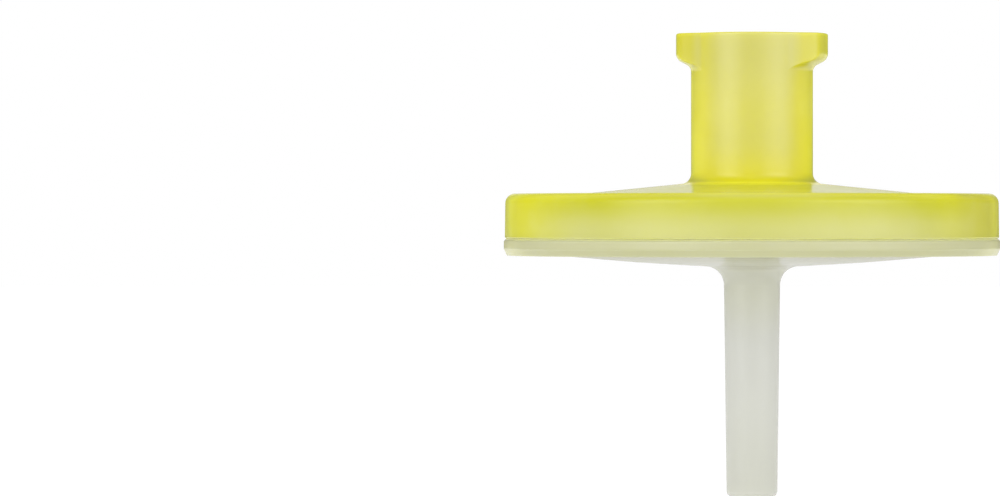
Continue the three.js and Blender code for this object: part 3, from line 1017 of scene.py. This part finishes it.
def outlet_colour(tree, vector, outlet):
    """The natural moulding's base colour: a ramp by height, whose yellow tint towards the rim is painted
    light and whose bevel is painted shade, painted light on the rim at low angles, painted shade on the faces
    that look down, and the seam's band of painted light over all."""
    shades = place_group(tree, outlet_tint_group(outlet), vector).outputs
    low, high = OUTLET_LOW[2], OUTLET_HIGH[2]
    stops = [
        (low, outlet.tip),
        (low + SPIGOT_SHARE * (-outlet.root_depth - low), outlet.spigot),
        (-outlet.root_depth - outlet.root_fillet, outlet.neck),
        (-outlet.root_depth - ROOT_DROP, outlet.root),
        (-outlet.break_depth - CONE_DROP, outlet.cone),
        # painted shade on the rim's lower bevel
        (-outlet.foot_depth, outlet.bevel),
        (-outlet.bevel_depth, outlet.bevel),
        # the rim's yellow tint is painted light from the yellow housing above
        (-outlet.bevel_depth + RIM_RISE, outlet.rim),
    ]
    places = [((height - low) / (high - low), shade) for height, shade in stops]
    on_rim = product(tree, low_angle(tree, *RIM_ANGLE), shades["Rim"])
    layers = (
        # painted light on the rim's ends
        (on_rim, outlet.edge, "MIX"),
        # painted shade on faces that look down
        (tilt(tree, *OUTLET_UNDER_TILT), outlet.underside, "MULTIPLY"),
        # painted light at the weld
        (shades["Seam"], outlet.seam, "MIX"),
    )
    return layered(tree, ramp(tree, shades["Place"], places), layers)


def moulded_plastic(name, roughness, colour_of, *settings):
    """Satin, milky polypropylene: light that enters the wall is scattered through it. Its base colour is the
    one that colour_of makes from the settings, with flow clouds over it."""
    material, surface, vector = new_material(name)
    tree = material.node_tree
    grain = place_group(tree, shared_group("Moulded grain"), vector).outputs
    rings = place_group(tree, shared_group("Turned rings"), vector).outputs
    least, most = roughness - ROUGHNESS_CHANGE, roughness + ROUGHNESS_CHANGE
    rough = map_range(tree, grain["Gloss"], *PLASTIC_GLOSS, least, most)
    tree.links.new(rough, surface.inputs["Roughness"])
    normal = bump(tree, rings["Height"], RING_HEIGHT)
    normal = bump(tree, grain["Height"], GRAIN_HEIGHT, normal)
    tree.links.new(normal, surface.inputs["Normal"])
    surface.inputs["IOR"].default_value = PLASTIC_IOR
    surface.inputs["Specular IOR Level"].default_value = 1.0
    surface.inputs["Subsurface Weight"].default_value = 1.0
    surface.inputs["Subsurface Radius"].default_value = (1.0, 1.0, 1.0)
    surface.inputs["Subsurface Scale"].default_value = SCATTER_LENGTH
    base = colour_of(tree, vector, *settings)
    tree.links.new(clouded(tree, vector, base), surface.inputs["Base Color"])
    return material


def clouded(tree, vector, base):
    """A colour with slow flow clouds over it, a little paler and a little darker."""
    mask = place_group(tree, shared_group("Flow cloud"), vector).outputs["Mask"]
    node = tree.nodes.new("ShaderNodeHueSaturation")
    tree.links.new(base, node.inputs["Color"])
    tree.links.new(map_range(tree, mask, 0.0, 1.0, *CLOUD_SATURATION), node.inputs["Saturation"])
    tree.links.new(map_range(tree, mask, 0.0, 1.0, *CLOUD_VALUE), node.inputs["Value"])
    return node.outputs["Color"]


def membrane_film(settings):
    """Matt white porous film: fine pores as bump and as a slight change of white."""
    material, surface, vector = new_material("Membrane film")
    tree = material.node_tree
    grain_group = shared_group("Moulded grain")
    grain = place_group(tree, grain_group, vector, Fine_scale=24000.0, Coarse_scale=5000.0).outputs
    white = mix_colours(tree, grain["Gloss"], settings.shade, settings.film)
    tree.links.new(white, surface.inputs["Base Color"])
    rough = map_range(tree, grain["Gloss"], *FILM_GLOSS, *FILM_ROUGHNESS)
    tree.links.new(rough, surface.inputs["Roughness"])
    tree.links.new(bump(tree, grain["Height"], PORE_HEIGHT), surface.inputs["Normal"])
    return material


# ---- Operators ---------------------------------------------------------------------------------------


class SYRINGEFILTER_OT_inlet_housing(bpy.types.Operator):
    """Add the yellow inlet housing: luer-lock hub, shoulder, disc, skirt and chamber"""

    bl_idname = "syringefilter.inlet_housing"
    bl_label = "Inlet Housing"

    def execute(self, context):
        hub, disc = context.scene.filter_hub, context.scene.filter_inlet
        mesh = turned_mesh("inlet_moulding", *inlet_grids(hub, disc))
        material = moulded_plastic("Yellow polypropylene", disc.roughness, inlet_colour, hub, disc)
        place_piece("inlet_moulding", mesh, material, "inlet_housing")
        return {"FINISHED"}


class SYRINGEFILTER_OT_membrane(bpy.types.Operator):
    """Add the white filter membrane that both housings clamp"""

    bl_idname = "syringefilter.membrane"
    bl_label = "Membrane"

    def execute(self, context):
        membrane, outlet = context.scene.filter_membrane, context.scene.filter_outlet
        mesh = turned_mesh("filter_membrane", *membrane_grids(membrane, outlet), capped=True)
        place_piece("filter_membrane", mesh, membrane_film(membrane), "membrane")
        return {"FINISHED"}


class SYRINGEFILTER_OT_outlet_housing(bpy.types.Operator):
    """Add the natural outlet housing: rim, support plate, cone and spigot"""

    bl_idname = "syringefilter.outlet_housing"
    bl_label = "Outlet Housing"

    def execute(self, context):
        outlet = context.scene.filter_outlet
        mesh = turned_mesh("outlet_moulding", *outlet_grids(outlet))
        material = moulded_plastic("Natural polypropylene", outlet.roughness, outlet_colour, outlet)
        place_piece("outlet_moulding", mesh, material, "outlet_housing")
        return {"FINISHED"}


# ---- Stage -------------------------------------------------------------------------------------------

CAMERA_CLIP = (0.01, 10)  # nearest and farthest that the camera sees, in metres
FLOOR_IN_LIGHT = 0.9  # grey of the floor in all other light
FLOOR_UNDER_GLOW = 0.5  # grey of the floor under the glow that the camera sees
FLOOR_GLOW = 0.62

# Where the parts of the room in gloss fade, by the ray's direction: its Y for the front, what is behind and
# the walls' back end, its X to either side for the walls and the backdrop's sides, its height for the rest.
ROOM = {
    "front": (-0.95, 0.1),
    "behind": (0.7, 1.0),
    "backdrop's sides": (0.06, 0.25),
    "backdrop's foot": (0.0, 0.12),
    "walls": (0.6, 0.9),
    "walls' back end": (0.2, 0.65),
    "panels' ends": (0.4, 0.8),
}


def add_camera(stage):
    """A level camera on the -Y side, shifted so that the object keeps its place in the frame."""
    camera = bpy.data.cameras.new("Camera")
    camera.lens = stage.lens
    camera.shift_x = stage.shift_x
    camera.shift_y = stage.shift_y
    camera.clip_start, camera.clip_end = CAMERA_CLIP
    holder = bpy.data.objects.new("Camera", camera)
    holder.location = (0, -stage.camera_distance, -stage.camera_depth)
    holder.rotation_euler = (math.pi / 2, 0, 0)
    bpy.context.scene.collection.objects.link(holder)
    bpy.context.scene.camera = holder


def ray_is(tree, *kinds):
    """1 for a ray of one of the kinds that Light Path names, and 0 for all others."""
    path = tree.nodes.new("ShaderNodeLightPath")
    mask = path.outputs[kinds[0]]
    for kind in kinds[1:]:
        mask = math_node(tree, "ADD", mask, path.outputs[kind], clamp=True)
    return mask


def matt_grey(tree, grey):
    """A Diffuse shader of a plain grey; returns its output."""
    node = tree.nodes.new("ShaderNodeBsdfDiffuse")
    node.inputs["Color"].default_value = (grey, grey, grey, 1)
    return node.outputs[0]


def pale_floor():
    """The floor's material. Light sees a pale grey, while the camera sees a darker one with a glow over it,
    which together are nearly white and still take the object's soft shadow."""
    material = bpy.data.materials.new("Pale floor")
    tree, surface = emptied(material, "ShaderNodeOutputMaterial")
    glow = tree.nodes.new("ShaderNodeEmission")
    glow.inputs["Strength"].default_value = FLOOR_GLOW
    seen = tree.nodes.new("ShaderNodeAddShader")
    tree.links.new(matt_grey(tree, FLOOR_UNDER_GLOW), seen.inputs[0])
    tree.links.new(glow.outputs[0], seen.inputs[1])
    mix = tree.nodes.new("ShaderNodeMixShader")
    tree.links.new(ray_is(tree, "Is Camera Ray", "Is Transmission Ray"), mix.inputs["Fac"])
    tree.links.new(matt_grey(tree, FLOOR_IN_LIGHT), mix.inputs[1])
    tree.links.new(seen.outputs[0], mix.inputs[2])
    tree.links.new(mix.outputs[0], surface)
    return material


def add_floor(stage):
    """A plain pale floor under the hanging filter."""
    half = stage.floor_size / 2
    level = CAD_LOW[2] - stage.floor_drop
    mesh = bpy.data.meshes.new("floor")
    corners = [(-half, -half, level), (half, -half, level), (half, half, level), (-half, half, level)]
    mesh.from_pydata(corners, [], [(0, 1, 2, 3)])
    floor = bpy.data.objects.new("floor", mesh)
    bpy.context.scene.collection.objects.link(floor)
    mesh.materials.append(pale_floor())


def room_in_gloss(tree, x, y, z, stage):
    """How bright the room shows in gloss, by the ray's direction: a bright front with a soft panel on either
    side, paler walls left and right, dark corners, and a bright backdrop just over the level of the lens."""
    front = map_range(tree, y, *ROOM["front"], stage.front_glow - stage.side_glow, 0.0)
    behind = map_range(tree, y, *ROOM["behind"], 0.0, stage.back_glow - stage.side_glow)
    off_axis = math_node(tree, "ABSOLUTE", x)
    in_backdrop = map_range(tree, off_axis, *ROOM["backdrop's sides"], 1.0, 0.0)
    back = product(tree, behind, in_backdrop, map_range(tree, z, *ROOM["backdrop's foot"]))
    walls = map_range(tree, off_axis, *ROOM["walls"], 0.0, stage.aside_glow)
    aside = product(tree, walls, map_range(tree, y, *ROOM["walls' back end"], 1.0, 0.0))
    around = math_node(tree, "ARCTAN2", x, product(tree, y, -1.0))
    left = band(tree, around, stage.left_panel, stage.left_reach)
    right = band(tree, around, stage.right_panel, stage.right_reach)
    level = map_range(tree, math_node(tree, "ABSOLUTE", z), *ROOM["panels' ends"], stage.panel_glow, 0.0)
    panels = product(tree, math_node(tree, "MAXIMUM", left, right), level)
    return total(tree, front, back, aside, panels, stage.side_glow)


def add_world(stage):
    """A white room. The camera sees plain white, gloss sees the room, and all other light comes softly from
    all round, a little stronger from the left."""
    world = bpy.data.worlds.new("Studio")
    bpy.context.scene.world = world
    tree, surface = emptied(world, "ShaderNodeOutputWorld")
    direction = tree.nodes.new("ShaderNodeTexCoord")
    split = tree.nodes.new("ShaderNodeSeparateXYZ")
    tree.links.new(direction.outputs["Generated"], split.inputs[0])
    x, y, z = split.outputs
    in_camera = ray_is(tree, "Is Camera Ray")
    in_gloss = ray_is(tree, "Is Glossy Ray", "Is Transmission Ray")
    leaning = remainder(tree, product(tree, x, stage.lean))
    gloss = product(tree, in_gloss, room_in_gloss(tree, x, y, z, stage))
    light = product(tree, remainder(tree, in_gloss), leaning, stage.ambient)
    otherwise = product(tree, remainder(tree, in_camera), total(tree, gloss, light))
    background = tree.nodes.new("ShaderNodeBackground")
    background.inputs["Color"].default_value = (1, 1, 1, 1)
    tree.links.new(total(tree, in_camera, otherwise), background.inputs["Strength"])
    tree.links.new(background.outputs[0], surface)


def add_lamp(name, aside, stage):
    """A square soft lamp in front of the object and to one side, aimed at the object's middle. In gloss the
    room's panel stands for it, which has softer sides."""
    light = bpy.data.lights.new(name, "AREA")
    light.shape = "SQUARE"
    light.size = stage.lamp_size
    light.energy = stage.lamp_power
    lamp = bpy.data.objects.new(name, light)
    lamp.location = (aside, -stage.lamp_forward, stage.lamp_height)
    aim = (CAD_LOW + CAD_HIGH) / 2 - lamp.location
    lamp.rotation_euler = aim.to_track_quat("-Z", "Y").to_euler()
    lamp.visible_glossy = False
    bpy.context.scene.collection.objects.link(lamp)


class SYRINGEFILTER_OT_stage(bpy.types.Operator):
    """Add the camera, the pale floor, the white room and the soft lamps"""

    bl_idname = "syringefilter.stage"
    bl_label = "Stage"

    def execute(self, context):
        stage = context.scene.filter_stage
        add_camera(stage)
        add_floor(stage)
        add_world(stage)
        add_lamp("Left box", -stage.lamp_aside, stage)
        add_lamp("Right box", stage.lamp_aside + stage.lamp_spread, stage)
        context.scene.view_settings.view_transform = "Standard"
        return {"FINISHED"}


# ---- Panel -------------------------------------------------------------------------------------------


class SYRINGEFILTER_PT_parts(bpy.types.Panel):
    """Lists the filter's pieces and the stage"""

    bl_idname = "SYRINGEFILTER_PT_parts"
    bl_label = "Syringe Filter"
    bl_space_type = "VIEW_3D"
    bl_region_type = "UI"
    bl_category = "Syringe Filter"

    def draw(self, context):
        for operator in OPERATORS:
            self.layout.operator(operator.bl_idname)
        for name in SETTINGS:
            box = self.layout.box()
            group = getattr(context.scene, name)
            for setting in group.bl_rna.properties:
                if setting.identifier not in {"rna_type", "name"}:
                    box.prop(group, setting.identifier)


# ---- Registration ------------------------------------------------------------------------------------

SETTINGS = {
    "filter_hub": HubSettings,
    "filter_inlet": InletSettings,
    "filter_outlet": OutletSettings,
    "filter_membrane": MembraneSettings,
    "filter_stage": StageSettings,
}
OPERATORS = (
    SYRINGEFILTER_OT_inlet_housing,
    SYRINGEFILTER_OT_membrane,
    SYRINGEFILTER_OT_outlet_housing,
    SYRINGEFILTER_OT_stage,
)
CLASSES = (*SETTINGS.values(), *OPERATORS, SYRINGEFILTER_PT_parts)


def register():
    for item in CLASSES:
        bpy.utils.register_class(item)
    for name, group in SETTINGS.items():
        setattr(bpy.types.Scene, name, bpy.props.PointerProperty(type=group))


def unregister():
    for name in SETTINGS:
        delattr(bpy.types.Scene, name)
    for item in reversed(CLASSES):
        bpy.utils.unregister_class(item)


def main():
    """Builds the pieces and the stage."""
    register()
    bpy.ops.syringefilter.inlet_housing()
    bpy.ops.syringefilter.membrane()
    bpy.ops.syringefilter.outlet_housing()
    bpy.ops.syringefilter.stage()


if __name__ == "__main__":
    main()
